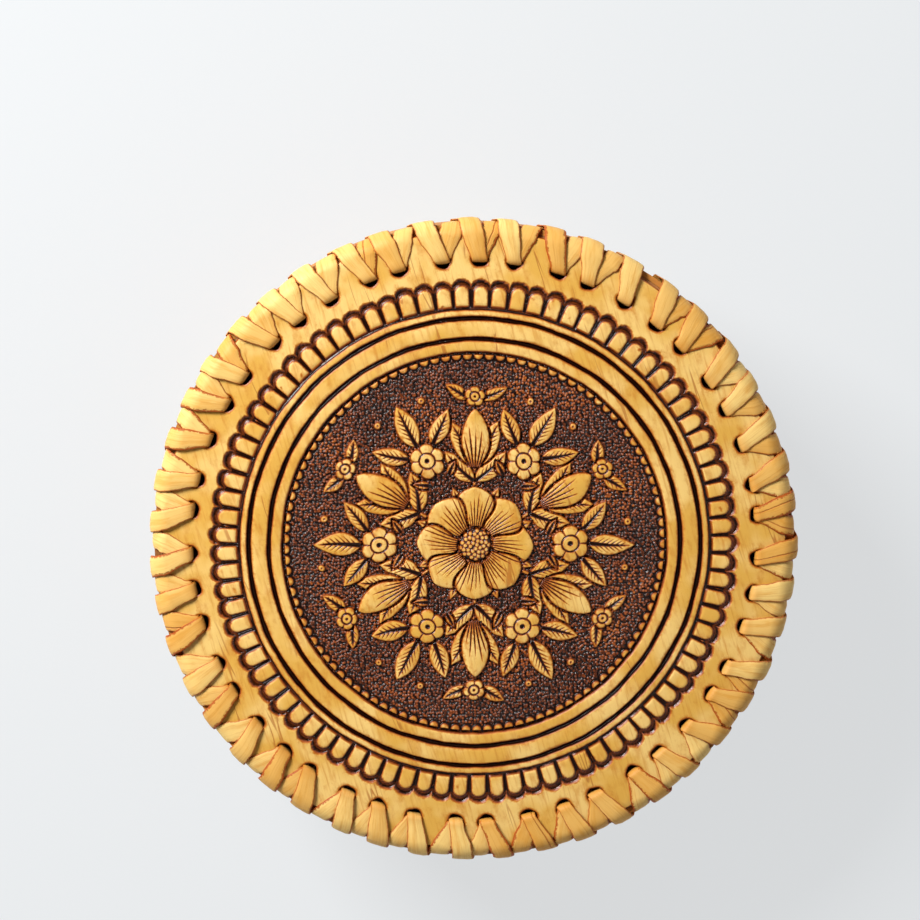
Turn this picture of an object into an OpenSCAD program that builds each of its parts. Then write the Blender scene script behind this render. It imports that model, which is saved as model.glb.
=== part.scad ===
// Round birch bark box with a lift-off lid. Both ends are bark discs laced to
// bark hoops with two flat strips that run opposite ways round the rim.
// Sizes are in millimetres. The box stands on its base lacing, lid up.

/* [Box] */
// Outside radius of the lid hoop, under its lacing
lid_hoop_r = 83.8; // [80:0.2:100]
// Height of the closed box, over the lacing at both ends
box_h = 66; // [50:0.5:90]
// Height of the lid hoop
lid_hoop_h = 21; // [18:0.5:26]
// Gap between the lid's sleeve and the box wall, all round
lid_clearance = 0.4; // [0.3:0.05:0.8]
// Gap between the wall's top edge and the lacing inside the closed lid
lid_seat_gap = 0.25; // [0.15:0.05:0.5]

/* [Bark] */
// Thickness of one ply of bark in a hoop
ply = 1.4; // [1:0.1:1.6]
// Thickness of the glue between two plies
glue_t = 0.1; // [0.1:0.05:0.2]
// Thickness of the embossed lid panel and of the bottom panel
panel_t = 1.8; // [1.6:0.1:2.6]
// How far a panel's edge stays inside its hoop's outer face
panel_inset = 2; // [1.2:0.1:2.4]
// Thickness of the lining discs
lining_t = 1; // [0.6:0.1:1.1]
// Width of the skived joint where a hoop's ends meet
seam_gap = 0.2; // [0.15:0.05:0.4]

/* [Lacing] */
// Number of lacing holes round the lid
lid_holes = 47; // [40:1:50]
// Number of lacing holes round the base
base_holes = 45; // [38:1:48]
// Radius of a lacing hole
hole_r = 2.2; // [2:0.1:2.5]
// Distance from a hoop's outer face in to the centres of the panel's holes
hole_inset = 9.1; // [8:0.1:10]
// Distance from a panel's outer face to the centres of the hoop's holes
hole_depth = 8.4; // [7.5:0.1:10]
// Width of a lacing strip where it crosses the rim
strip_w = 4.9; // [3.8:0.1:5.2]
// Thickness of a lacing strip
strip_t = 0.5; // [0.35:0.05:0.55]
// Angle from +X at which the lacing starts and ends
lace_start = 58.8; // [0:0.1:90]
// How far the hand-punched holes wander from even spacing, as a share of it
punch_wander = 0.1; // [0:0.01:0.12]

/* [Embossed border] */
// Radius of the sunk field in the middle of the lid
field_r = 50.2; // [46:0.1:51]
// Depth of the sunk field and of the grooves
relief = 0.8; // [0.4:0.05:1]
// Number of beads round the field
beads = 109; // [80:1:112]
// Radius of a bead
bead_r = 1; // [0.8:0.05:1.1]
// Radius of the groove round the inner band
inner_groove_r = 53.9; // [52.5:0.1:55]
// Radius of the groove round the outer band
outer_groove_r = 59.2; // [57.5:0.1:59.8]
// Width of both grooves
groove_w = 1.2; // [0.6:0.1:1.4]
// Radius of the fine line on which the arches stand
arch_line_r = 61.6; // [61.2:0.1:62.5]
// Width of that line
line_w = 0.6; // [0.4:0.05:0.8]
// Width of the cuts between arches
arch_cut_w = 1; // [0.5:0.05:1.2]
// Height of an arch's pad
arch_h = 5.8; // [4:0.1:6]
// Width of the cut round the arches' tops
arch_top_w = 1.5; // [0.8:0.1:1.6]
// Number of arches
arches = 85; // [60:1:90]

/* [Embossed flowers] */
// Number of petals of the middle flower
petals = 8; // [6:1:10]
// Radius of the middle flower
flower_r = 15; // [12:0.5:16]
// Radius of its seed head
seed_r = 4.6; // [3.5:0.1:5.5]
// Number of tulips, and of the small blossoms between them
sprays = 6; // [4:1:6]
// Radius from the middle to a tulip's base
tulip_r = 20.5; // [19:0.5:22]
// Length of a tulip's middle petal
tulip_l = 15; // [9:0.5:16]
// Radius from the middle to a small blossom's centre
blossom_r = 25; // [22:0.5:26]
// Radius of a small blossom
blossom_size = 5; // [3:0.1:5.5]
// Radius from the middle to the bud beyond a tulip
bud_r = 38.8; // [38:0.1:40.5]
// Radius of a bud
bud_size = 3; // [2:0.1:3.2]
// Radius of the berries outside a blossom
berry_r = 1.2; // [0.8:0.1:1.6]
// Width of a stem
stem_w = 1.2; // [0.8:0.1:1.6]
// Length of a leaf
leaf_l = 12.5; // [8:0.5:13]
// Width of a leaf, as a share of its length
leaf_share = 0.5; // [0.3:0.01:0.52]

/* [Hidden] */
$fn = 96;
hole_fn = 24;
small_fn = 24;        // for beads, buds and berries
eps = 1;              // how far a cut runs past the face it opens
gap = 0.1;            // between a strip and what it lies on, and between strips
skive = 30;           // angle of a hoop's skived joint to its face
golden = 137.5;       // degrees; steps the wander of the holes
lining_margin = 0.5;  // between the lacing holes and a lining disc
liner_margin = 0.8;   // between the lacing holes and a sleeve or liner

function unit(v) = v / norm(v);
rim_slope = unit([panel_t, -panel_inset]);  // from a hoop's edge to its panel's

// The two layers of strip. The under strip lies on the bark, and the over
// strip on the under one; in a hole they stand side by side.
under_off = gap + strip_t / 2;
over_off = under_off + strip_t + gap;
lace_t = over_off + strip_t / 2;
over_leg = gap + strip_t / 2 - 0.05;
under_leg = over_leg + strip_t + 0.25;
function leg_half_w(leg) =
    sqrt(pow(hole_r - gap / 2, 2) - pow(leg + strip_t / 2, 2)) - gap / 2;

// Radii, from the lid hoop inwards. The strips inside the hoops are as thick,
// with their glue, as the lacing beside them.
hoop_t = 2 * ply + glue_t;
lid_hoop_in = lid_hoop_r - hoop_t;
wall_r = lid_hoop_in - lace_t - lid_clearance;
wall_in = wall_r - hoop_t;
inner_strip_t = lace_t - glue_t;

// Heights, from the base up
base_face_z = lace_t;
lid_face_z = box_h - lace_t;
lid_under_z = lid_face_z - panel_t;
wall_z = base_face_z + panel_t;
wall_top_z = lid_under_z - lace_t - lid_seat_gap;

// Angle of hole k of n in a panel, counted either way from the lacing's start:
// even spacing plus the punch's wander
function hole_at(k, n) =
    lace_start + (k + punch_wander * sin(((k % n + n) % n) * golden)) * 360 / n;
// Angle of the hoop's hole that lies between panel holes k and k + 1
function side_at(k, n) = (hole_at(k, n) + hole_at(k + 1, n)) / 2;
function polar(r, a, z) = [r * cos(a), r * sin(a), z];

// A round disc whose outer face is at z = 0 and whose body is below it
module disc(r, t, n, hoop_r) {
    difference() {
        translate([0, 0, -t])
            cylinder(h = t, r = r);
        for (k = [0 : n - 1])
            rotate([0, 0, hole_at(k, n)])
                translate([hoop_r - hole_inset, 0, -t - eps])
                    cylinder(h = t + 2 * eps, r = hole_r, $fn = hole_fn);
    }
}

// A strip of bark bent into a hoop, its ends skived and glued at angle seam
module hoop(r, t, z0, z1, seam) {
    difference() {
        translate([0, 0, z0])
            cylinder(h = z1 - z0, r = r);
        translate([0, 0, z0 - eps])
            cylinder(h = z1 - z0 + 2 * eps, r = r - t);
        rotate([0, 0, seam])
            translate([r - t / 2, 0, (z0 + z1) / 2])
                rotate([0, 0, 90 - skive])
                    cube([4 * t, seam_gap, z1 - z0 + 2 * eps], center = true);
    }
}

// The ring of holes through a hoop at height z
module side_holes(r, z, n) {
    for (k = [0 : n - 1])
        rotate([0, 0, side_at(k, n)])
            translate([r - hoop_t - eps, 0, z])
                rotate([0, 90, 0])
                    cylinder(h = hoop_t + 2 * eps, r = hole_r, $fn = hole_fn);
}

module laced_hoop(r, t, z0, z1, seam, hoop_r, hole_z, n) {
    difference() {
        hoop(r, t, z0, z1, seam);
        side_holes(hoop_r, hole_z, n);
    }
}

// ---- Lacing ----------------------------------------------------------------
// One turn of a strip round the rim, as [radius, depth below the panel's outer
// face]: up through the panel, over its edge and the hoop's, down to the hoop's
// hole, in through it and back up inside. The wall's edge presses the lid's
// strips into the corner there, and the base's strips run straight across it.
function turn(hoop_r, off, leg, pressed) =
    let (in_panel = [hoop_r - hole_inset + leg, panel_t + off],
         in_hoop = [hoop_r - hoop_t - off, hole_depth - leg])
    [in_panel,
     [in_panel[0], -off],
     bend([hoop_r - panel_inset, 0], [0, -1], rim_slope, off),
     bend([hoop_r, panel_t], rim_slope, [1, 0], off),
     [hoop_r + off, in_hoop[1]],
     in_hoop,
     pressed ? [in_hoop[0], in_panel[1]] : (in_panel + in_hoop) / 2];

// A bark corner moved out by off, square to the faces before and after it
function bend(corner, before, after, off) =
    corner + (before + after) / (1 + before * after) * off;

// How far along the pitch each point of the turn lies: half of it outside,
// from a panel hole to a hoop hole, and half of it inside
advance = [0, 0, 0.25, 0.29, 0.5, 0.5, 0.74];

function left_of(v) = [-v[1], v[0]];
// Half the strip's thickness, mitred between the faces before and after point j
function mitre(p, j) =
    let (m = len(p),
         a = left_of(unit(p[j] - p[(j + m - 1) % m])),
         b = left_of(unit(p[(j + 1) % m] - p[j])))
    (a + b) / (1 + a * b) * strip_t / 2;

// The four corners of the strip at its point i, counted along the whole lace
function corners(i, n, hoop_r, off, leg, way, pressed) =
    let (p = turn(hoop_r, off, leg, pressed),
         m = len(p),
         j = i % m,
         k = floor(i / m),
         s = k + advance[j],
         k0 = floor(s),
         f = s - k0,
         a = hole_at(way * k0, n) * (1 - f) + hole_at(way * (k0 + 1), n) * f,
         in_hole = j == 0 || j == 1 || j == 4 || j == 5,
         w = in_hole ? leg_half_w(leg) : strip_w / 2,
         c = p[j],
         d = mitre(p, j))
    [for (q = [[-1, -1], [1, -1], [1, 1], [-1, 1]])
        let (r = c[0] + q[1] * d[0], z = -(c[1] + q[1] * d[1]))
        polar(r, a + way * q[0] * w / c[0] * 180 / PI, z)];

// A whole lace, from its point first to its point last, as one ribbon
module lace(n, hoop_r, off, leg, way, first, last, pressed) {
    rings = [for (i = [first : last])
        corners(i, n, hoop_r, off, leg, way, pressed)];
    points = [for (ring = rings) for (v = ring) v];
    end = len(rings) - 1;
    sides = [for (i = [0 : end - 1]) for (q = [0 : 3])
        let (a = 4 * i + q, b = 4 * i + (q + 1) % 4)
        each [[a, b, b + 4], [a, b + 4, a + 4]]];
    caps = [[0, 2, 1], [0, 3, 2],
            [4 * end, 4 * end + 1, 4 * end + 2],
            [4 * end, 4 * end + 2, 4 * end + 3]];
    faces = concat(sides, caps);
    polyhedron(points, way > 0 ? [for (f = faces) [f[2], f[1], f[0]]] : faces);
}

// The under strip runs one way and leaves one pitch bare where it starts; the
// over strip runs the other way all round.
module lace_under(n, hoop_r, pressed) {
    lace(n, hoop_r, under_off, under_leg, -1, 5, 7 * n, pressed);
}
module lace_over(n, hoop_r, pressed) {
    lace(n, hoop_r, over_off, over_leg, 1, 0, 7 * n - 1, pressed);
}

// ---- Lid -------------------------------------------------------------------
module ring_groove(r, w, depth) {
    rotate_extrude()
        translate([r - w / 2, -depth])
            square([w, depth + eps]);
}

// A pointed leaf or petal that starts at the origin and runs along +X: the
// overlap of two circles
module leaf(len, width) {
    arc_r = (len * len + width * width) / (4 * width);
    intersection() {
        translate([len / 2, arc_r - width / 2]) circle(r = arc_r);
        translate([len / 2, width / 2 - arc_r]) circle(r = arc_r);
    }
}

module ring_of(n, from = 0) {
    for (k = [0 : n - 1])
        rotate(from + k * 360 / n)
            children();
}

// A leaf of the usual shape, drawn at a share of its full size
module leaf_at(share) {
    leaf(leaf_l * share, leaf_l * leaf_share * share);
}

// The middle flower: round petals that overlap a little, round its middle
module middle_flower() {
    petal_lap = 1.06;
    spread = sin(180 / petals);
    petal_r = flower_r * spread / (1 + spread) * petal_lap;
    ring_of(petals)
        translate([flower_r - petal_r, 0]) circle(r = petal_r);
    circle(r = flower_r - petal_r);
}

// The cuts in it: one round its seed head, and one between each two petals
module flower_cuts() {
    ring_groove(seed_r, line_w, relief / 2);
    ring_of(petals, 180 / petals)
        translate([seed_r, -line_w / 2, -relief / 2])
            cube([flower_r - seed_r, line_w, relief / 2 + eps]);
}

// A tulip on its stem, with a leaf at each side, and beyond its tip a bud
// between two leaflets. Sizes of petals are shares of the middle petal's length.
module tulip() {
    stem_lap = 2;        // how far the stem runs in under both its ends
    petal_w = 0.52;
    side_petal = [0.94, 0.4];
    side_petal_turn = 24;
    leaf_root = 1.5;     // where the leaves leave the stem, from the flower's rim
    leaf_turn = 52;
    leaflet_root = 0.6;  // how far inside the bud's middle the leaflets start
    leaflet_turn = 68;
    translate([flower_r - stem_lap, -stem_w / 2])
        square([tulip_r - flower_r + 2 * stem_lap, stem_w]);
    translate([tulip_r, 0])
        leaf(tulip_l, tulip_l * petal_w);
    translate([bud_r, 0])
        circle(r = bud_size, $fn = small_fn);
    for (side = [-1, 1]) {
        translate([tulip_r, side * stem_w / 4])
            rotate(side * side_petal_turn)
                leaf(tulip_l * side_petal[0], tulip_l * side_petal[1]);
        translate([flower_r + leaf_root, side * stem_w / 4])
            rotate(side * leaf_turn) leaf_at(0.9);
        translate([bud_r - leaflet_root, side * bud_size / 2])
            rotate(side * leaflet_turn) leaf_at(0.62);
    }
}

// A small round blossom with a fan of three leaves outside it, and a berry at
// each side of the middle leaf's tip
module blossom() {
    leaf_lap = 0.5;      // how far a leaf runs in under the blossom
    leaf_turn = 50;
    berry_turn = 9.2;
    berry_in = 2.2;      // how far the berries stay inside the middle leaf's tip
    translate([blossom_r, 0]) {
        circle(r = blossom_size);
        for (turn = [-leaf_turn, 0, leaf_turn])
            rotate(turn)
                translate([blossom_size - leaf_lap, 0])
                    leaf_at(turn == 0 ? 1 : 0.85);
    }
    for (side = [-1, 1])
        rotate(side * berry_turn)
            translate([blossom_r + blossom_size + leaf_l - berry_in, 0])
                circle(r = berry_r, $fn = small_fn);
}

// Everything that stands in the sunk field
module field_ornament() {
    middle_flower();
    ring_of(sprays, 180 / sprays) tulip();
    ring_of(sprays) blossom();
    ring_of(beads)
        translate([field_r - bead_r / 2, 0]) circle(r = bead_r, $fn = small_fn);
}

// One arch: straight sides and a round top in short steps. Its base is on the
// outer side of the fine line.
module arch_pad() {
    half_w = PI * (arch_line_r + arch_h / 2) / arches - arch_cut_w / 2;
    base_x = arch_line_r + line_w / 2;
    top_x = base_x + arch_h - half_w;
    polygon(concat([[base_x, -half_w]],
                   [for (a = [-90 : 30 : 90])
                        [top_x + half_w * cos(a), half_w * sin(a)]],
                   [[base_x, half_w]]));
}

module lid_panel() {
    top_r = arch_line_r + line_w / 2 + arch_h + arch_top_w;
    color("#e2b35f")
    translate([0, 0, lid_face_z])
    difference() {
        disc(lid_hoop_r - panel_inset, panel_t, lid_holes, lid_hoop_r);
        translate([0, 0, -relief])
            linear_extrude(relief + eps)
                difference() {
                    circle(r = field_r);
                    field_ornament();
                }
        flower_cuts();
        ring_groove(inner_groove_r, groove_w, relief);
        ring_groove(outer_groove_r, groove_w, relief);
        translate([0, 0, -relief / 2])
            linear_extrude(relief / 2 + eps)
                difference() {
                    circle(r = top_r);
                    circle(r = arch_line_r - line_w / 2);
                    ring_of(arches) arch_pad();
                }
    }
}

module lid_lining() {
    color("#c98f4a")
    translate([0, 0, lid_under_z - lining_t])
        cylinder(h = lining_t,
                 r = lid_hoop_r - hole_inset - hole_r - lining_margin);
}

module lid_hoop_outer() {
    color("#d9a551")
    laced_hoop(lid_hoop_r, ply, lid_under_z - lid_hoop_h, lid_under_z,
               hole_at(12, lid_holes), lid_hoop_r, lid_face_z - hole_depth,
               lid_holes);
}

module lid_hoop_inner() {
    color("#c4904a")
    laced_hoop(lid_hoop_r - ply - glue_t, ply, lid_under_z - lid_hoop_h, lid_under_z,
               hole_at(35, lid_holes), lid_hoop_r, lid_face_z - hole_depth,
               lid_holes);
}

module lid_sleeve() {
    color("#b9833f")
    hoop(lid_hoop_in - glue_t, inner_strip_t, lid_under_z - lid_hoop_h,
         lid_face_z - hole_depth - hole_r - liner_margin,
         hole_at(20, lid_holes));
}

module lid_lace_under() {
    color("#e8c377")
    translate([0, 0, lid_face_z])
        lace_under(lid_holes, lid_hoop_r, true);
}

module lid_lace_over() {
    color("#f0d08c")
    translate([0, 0, lid_face_z])
        lace_over(lid_holes, lid_hoop_r, true);
}

// ---- Base ------------------------------------------------------------------
module bottom_panel() {
    color("#cf9d52")
    translate([0, 0, base_face_z])
    mirror([0, 0, 1])
        disc(wall_r - panel_inset, panel_t, base_holes, wall_r);
}

module bottom_lining() {
    color("#c98f4a")
    translate([0, 0, wall_z])
        cylinder(h = lining_t, r = wall_r - hole_inset - hole_r - lining_margin);
}

module wall_outer() {
    color("#d9a551")
    laced_hoop(wall_r, ply, wall_z, wall_top_z, hole_at(11, base_holes),
               wall_r, base_face_z + hole_depth, base_holes);
}

module wall_inner() {
    color("#c4904a")
    laced_hoop(wall_r - ply - glue_t, ply, wall_z, wall_top_z, hole_at(33, base_holes),
               wall_r, base_face_z + hole_depth, base_holes);
}

module wall_liner() {
    color("#c98f4a")
    hoop(wall_in - glue_t, inner_strip_t, base_face_z + hole_depth + hole_r + liner_margin,
         wall_top_z, hole_at(22, base_holes));
}

module base_lace_under() {
    color("#e8c377")
    translate([0, 0, base_face_z])
    mirror([0, 0, 1])
        lace_under(base_holes, wall_r, false);
}

module base_lace_over() {
    color("#f0d08c")
    translate([0, 0, base_face_z])
    mirror([0, 0, 1])
        lace_over(base_holes, wall_r, false);
}

lid_panel();
lid_lining();
lid_hoop_outer();
lid_hoop_inner();
lid_sleeve();
lid_lace_under();
lid_lace_over();
bottom_panel();
bottom_lining();
wall_outer();
wall_inner();
wall_liner();
base_lace_under();
base_lace_over();
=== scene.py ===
"""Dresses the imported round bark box: an embossed and scorched lid, two laced
rims, bark hoops and linings, on a plain pale stage.

Lengths inside the shape functions are in millimetres and angles in radians,
both in the frame of the box: +Z up through the lid, the floor at zero.
"""

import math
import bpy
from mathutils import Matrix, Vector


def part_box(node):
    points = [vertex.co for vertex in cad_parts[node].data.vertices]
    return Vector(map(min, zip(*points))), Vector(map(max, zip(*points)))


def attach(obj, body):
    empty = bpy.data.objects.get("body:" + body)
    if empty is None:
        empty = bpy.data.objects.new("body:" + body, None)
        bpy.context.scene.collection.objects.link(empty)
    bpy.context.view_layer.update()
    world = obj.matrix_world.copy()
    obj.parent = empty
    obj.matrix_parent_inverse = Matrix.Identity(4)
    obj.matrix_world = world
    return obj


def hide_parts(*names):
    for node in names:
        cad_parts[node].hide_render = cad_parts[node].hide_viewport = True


bl_info = {
    "name": "Birch Bark Box",
    "version": (1, 0, 0),
    "blender": (4, 5, 0),
    "location": "3D View > Sidebar > Bark Box",
    "description": "Builds the embossed lid, lacing, bark and stage of a round bark box",
    "category": "Add Mesh",
}

import bpy
import numpy as np
from mathutils import Euler, Matrix, Vector

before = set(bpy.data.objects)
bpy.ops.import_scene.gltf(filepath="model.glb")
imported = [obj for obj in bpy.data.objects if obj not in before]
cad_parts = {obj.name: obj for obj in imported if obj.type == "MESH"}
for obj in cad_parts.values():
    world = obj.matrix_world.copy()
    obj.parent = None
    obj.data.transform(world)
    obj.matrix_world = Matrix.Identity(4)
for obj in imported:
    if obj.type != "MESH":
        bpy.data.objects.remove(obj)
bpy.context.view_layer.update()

MM = 0.001
TAU = 2 * math.pi
GOLDEN_ANGLE = math.radians(137.508)


def node_box(node):
    """Lowest and highest corner of a CAD node, in millimetres."""
    low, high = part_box(node)
    return np.array(low) / MM, np.array(high) / MM


PANEL_LOW, PANEL_HIGH = node_box("lid_panel")
LID_FACE_Z = PANEL_HIGH[2]
PANEL_T = PANEL_HIGH[2] - PANEL_LOW[2]
PANEL_R = round(PANEL_HIGH[1], 1)
LID_HOOP_R = round(node_box("lid_hoop_outer")[1][1], 1)
WALL_R = round(node_box("wall_outer")[1][1], 1)
BASE_FACE_Z = node_box("bottom_panel")[0][2]


# ---- Settings ---------------------------------------------------------------
def linear(hex_value):
    """An sRGB hex colour as linear red, green and blue."""
    srgb = [(hex_value >> shift & 255) / 255 for shift in (16, 8, 0)]
    return tuple(c / 12.92 if c <= 0.04045 else ((c + 0.055) / 1.055) ** 2.4 for c in srgb)


def length(name, description, millimetres):
    """A length property, given in millimetres and kept in metres."""
    return bpy.props.FloatProperty(
        name=name, description=description, default=millimetres * MM,
        min=0.0, unit="LENGTH", precision=5,
    )


def colour(name, description, hex_value):
    """A colour property, given as sRGB hex and kept linear."""
    return bpy.props.FloatVectorProperty(
        name=name, description=description, default=linear(hex_value),
        min=0.0, max=1.0, size=3, subtype="COLOR",
    )


def count(name, description, number):
    return bpy.props.IntProperty(name=name, description=description, default=number, min=1)


def angle(name, description, degrees):
    return bpy.props.FloatProperty(
        name=name, description=description, default=math.radians(degrees), subtype="ANGLE",
    )


class BARKBOX_PG_lid(bpy.types.PropertyGroup):
    """Sizes of the embossed lid"""

    field_r: length("Field radius", "Radius of the sunk, stippled field", 50.2)
    relief: length("Relief", "Depth of the sunk field", 0.8)
    pebble: length("Pebble", "Spacing of the stippling's pebbles", 0.8)
    beads: count("Beads", "Beads round the field", 109)
    inner_groove_r: length("Inner groove", "Radius of the inner dark groove", 53.9)
    outer_groove_r: length("Outer groove", "Radius of the outer dark groove", 59.2)
    groove_w: length("Groove width", "Width of both dark grooves", 1.2)
    arch_line_r: length("Arch line", "Radius of the fine line under the arches", 61.6)
    line_w: length("Line width", "Width of the fine line under the arches", 0.6)
    arch_h: length("Arch height", "Height of an arch's pad", 5.8)
    arch_cut_w: length("Arch cut", "Width of the cut between two arches", 1.0)
    arch_top_w: length("Arch top", "Width of the dark cut round an arch's top", 1.5)
    arches: count("Arches", "Arches in the border", 85)
    petals: count("Petals", "Petals of the middle flower", 8)
    flower_r: length("Flower radius", "Radius of the middle flower", 15.0)
    seed_r: length("Seed head", "Radius of the middle flower's seed head", 4.6)
    sprays: count("Sprays", "Tulips, and blossoms between them", 6)
    tulip_r: length("Tulip place", "Radius from the middle to a tulip's base", 20.5)
    tulip_l: length("Tulip length", "Length of a tulip's middle petal", 15.0)
    blossom_r: length("Blossom place", "Radius from the middle to a small blossom", 25.0)
    blossom_size: length("Blossom size", "Radius of a small blossom", 5.0)
    bud_r: length("Bud place", "Radius from the middle to the bud over a tulip", 38.8)
    bud_size: length("Bud size", "Radius of a bud", 3.0)
    leaf_l: length("Leaf length", "Length of a leaf", 12.5)
    leaf_share: bpy.props.FloatProperty(
        name="Leaf width", default=0.5, min=0.3, max=0.6, subtype="FACTOR",
        description="Width of a leaf, as a share of its length",
    )


class BARKBOX_PG_lacing(bpy.types.PropertyGroup):
    """Sizes of the lacing"""

    lid_holes: count("Lid holes", "Lacing holes round the lid", 47)
    base_holes: count("Base holes", "Lacing holes round the base", 45)
    hole_r: length("Hole radius", "Radius of a lacing hole", 2.2)
    hole_inset: length("Hole inset", "From a hoop's face in to its panel's holes", 9.1)
    hole_depth: length("Hole depth", "From a panel's face down to its hoop's holes", 8.4)
    hoop_t: length("Hoop thickness", "Thickness of a hoop's two plies", 2.9)
    panel_inset: length("Panel inset", "From a hoop's face in to its panel's edge", 2.0)
    strip_w: length("Strip width", "Width of a lacing strip", 4.9)
    strip_t: length("Strip thickness", "Thickness of a lacing strip", 0.42)
    layer_gap: length("Layer gap", "Between a strip and what it lies on", 0.1)
    start: angle("Start", "Where the lacing starts, from +X", 58.8)
    wander: bpy.props.FloatProperty(
        name="Punch wander", default=0.1, min=0.0, max=0.12,
        description="How far the punched holes stray, as a share of their spacing",
    )


class BARKBOX_PG_colours(bpy.types.PropertyGroup):
    """Colours of the bark, from the photographed finish"""

    gold: colour("Gold", "Lacquered inner bark", 0xE0AC4B)
    pale: colour("Pale", "Lighter patches of the same bark", 0xF2CA78)
    amber: colour("Amber", "Grain, and the faint scorch round a hot stamp's mark", 0xC98028)
    scorch: colour("Scorch", "Edge of a hot stamp's mark", 0xA3500F)
    ground: colour("Ground", "Rubbed tops of the stippling", 0x78350F)
    burnt: colour("Burnt", "Bottom of a hot stamp's mark", 0x1C0600)
    strip: colour("Strip", "Lacing strip", 0xF5CF7E)
    strip_deep: colour("Strip, deep", "Darker lengths of the lacing strip", 0xDA942F)
    # This colour also paints the shade along the strips' edges and in their creases.
    tear_and_shade: colour("Tear", "Torn edges and creases of the lacing strip", 0xAC4A0E)
    wall: colour("Wall", "Bark of the hoops and the wall", 0xCF8E3E)
    lining: colour("Lining", "Raw bark of the linings", 0xC08A55)
    lenticel: colour("Lenticel", "Dashes across raw bark", 0x7A4A2C)
    floor: colour("Floor", "Plain pale floor", 0xE9ECEE)


# ---- Noise ------------------------------------------------------------------
def wander(x, y, scale, seed, waves=6):
    """Smooth wander of about -1 to 1: the sum of a few plane sine waves, each
    with its own heading and phase and a length near the scale."""
    rng = np.random.default_rng(seed)
    total = np.zeros(np.broadcast(x, y).shape)
    for heading, stretch, phase in rng.uniform((0, 0.7, 0), (TAU, 1.5, TAU), (waves, 3)):
        along = x * math.cos(heading) + y * math.sin(heading)
        total += np.sin(TAU * along / (scale * stretch) + phase)
    return total / math.sqrt(waves)


def scatter(i, j, seed):
    """A fixed random number from 0 to 1 for each whole-number cell."""
    mixed = np.sin(i * 127.1 + j * 311.7 + seed * 74.7) * 43758.5453
    return mixed - np.floor(mixed)


def pebbles(x, y, pitch, seed):
    """Points scattered one to a cell of a square grid: the distance, in
    pitches, to the nearest and the next, and a random tone of the nearest."""
    cell_x, cell_y = np.floor(x / pitch), np.floor(y / pitch)
    nearest, second = np.full(x.shape, 9.0), np.full(x.shape, 9.0)
    tone = np.zeros(x.shape)
    for step_x in (-1, 0, 1):
        for step_y in (-1, 0, 1):
            i, j = cell_x + step_x, cell_y + step_y
            point_x = i + 0.1 + 0.8 * scatter(i, j, seed)
            point_y = j + 0.1 + 0.8 * scatter(i, j, seed + 1)
            apart = np.hypot(x / pitch - point_x, y / pitch - point_y)
            second = np.minimum(second, np.maximum(nearest, apart))
            tone = np.where(apart < nearest, scatter(i, j, seed + 2), tone)
            nearest = np.minimum(nearest, apart)
    return nearest, second, tone


def smooth(t):
    """The smooth step: 0 below 0, 1 above 1, 3t^2 - 2t^3 between."""
    t = np.clip(t, 0, 1)
    return t * t * (3 - 2 * t)


def mix(a, b, share):
    return a + (b - a) * share


# ---- Embossing --------------------------------------------------------------
class Emboss:
    """A sheet of bark under the stamp: the height and the burn of each point.
    The height is in millimetres from the lid's face, and the burn is 0 on
    clean bark and 1 where the stamp was hottest."""

    GROOVE = 0.5     # width of the dark cut round a raised shape
    SHOULDER = 0.5   # width of the rounded edge of a raised shape
    HALO = 0.36      # how far the scorch of an edge fades into a shape
    REACH = 17.0     # no shape is larger than this, from where it starts

    def __init__(self, x, y, floor):
        self.x, self.y, self.floor = x, y, floor
        self.height = np.full(x.shape, floor, dtype=float)
        self.burn = np.ones(x.shape)

    def raise_shape(self, at, turn, outline, crown=0.3, top=0.0):
        """Presses one shape. outline maps coordinates along and across the
        shape to its depth inside the outline and the burn of its carving.
        The surface rises from the floor over a rounded shoulder to the top,
        plus a crown that grows with the depth inside, less the square of the
        carving. A dark cut goes round it, also through what was pressed
        before."""
        near = np.nonzero(np.hypot(self.x - at[0], self.y - at[1]) < self.REACH)
        dx, dy = self.x[near] - at[0], self.y[near] - at[1]
        u = dx * math.cos(turn) + dy * math.sin(turn)
        v = dy * math.cos(turn) - dx * math.sin(turn)
        inside, carving = outline(u, v)
        kept = inside > -self.GROOVE
        near = tuple(index[kept] for index in near)
        inside, carving = inside[kept], carving[kept]
        round_it = smooth(1 + inside / self.GROOVE)
        body = smooth(inside / self.SHOULDER)
        deep = np.maximum(inside, 0)
        rise = top + crown * (1 - np.exp(-deep / 1.1)) - 0.38 * carving ** 2
        edge_burn = 0.72 * np.exp(-deep / self.HALO)
        height = mix(self.height[near], self.floor - 0.12, round_it)
        burn = mix(self.burn[near], 1.0, round_it)
        self.height[near] = mix(height, rise, body)
        self.burn[near] = mix(burn, np.maximum(carving, edge_burn), body)


def strokes(phase, width, softness=0.26):
    """1 on strokes centred on whole phases, fading to 0 beyond their width."""
    off_centre = np.abs(phase - np.round(phase))
    return smooth((width + softness / 2 - off_centre) / softness)


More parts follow.
